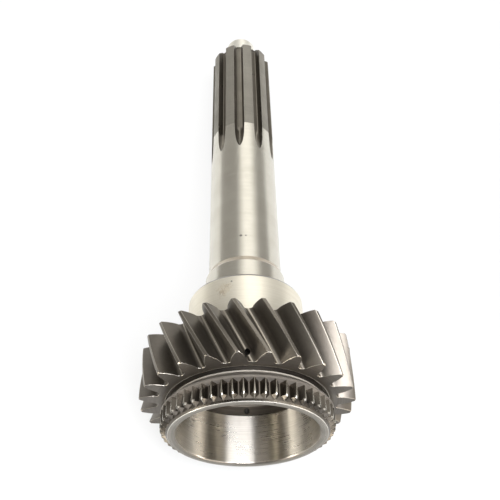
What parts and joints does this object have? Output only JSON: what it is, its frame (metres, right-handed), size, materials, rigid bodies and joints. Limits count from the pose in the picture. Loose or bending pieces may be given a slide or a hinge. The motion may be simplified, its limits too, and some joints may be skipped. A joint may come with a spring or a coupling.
{
  "type": "transmission input shaft",
  "caption": "Gearbox input shaft: splined clutch end with pilot, seal land, bearing collar, left-hand helical gear, clutch ring and blind bearing pocket.",
  "frame": {"origin": "centre of the wide end face at the bearing-pocket end, on the shaft's axis, where it stands", "axes": "+Z along the shaft's axis from the bearing-pocket end face towards the splined end and its pilot"},
  "size_m": [0.133, 0.133, 0.389],
  "materials": {
    "steel": "hardened steel, ground on its bearing surfaces and oiled"
  },
  "bodies": {
    "root": {"input_shaft": "steel"}
  },
  "joints": []
}
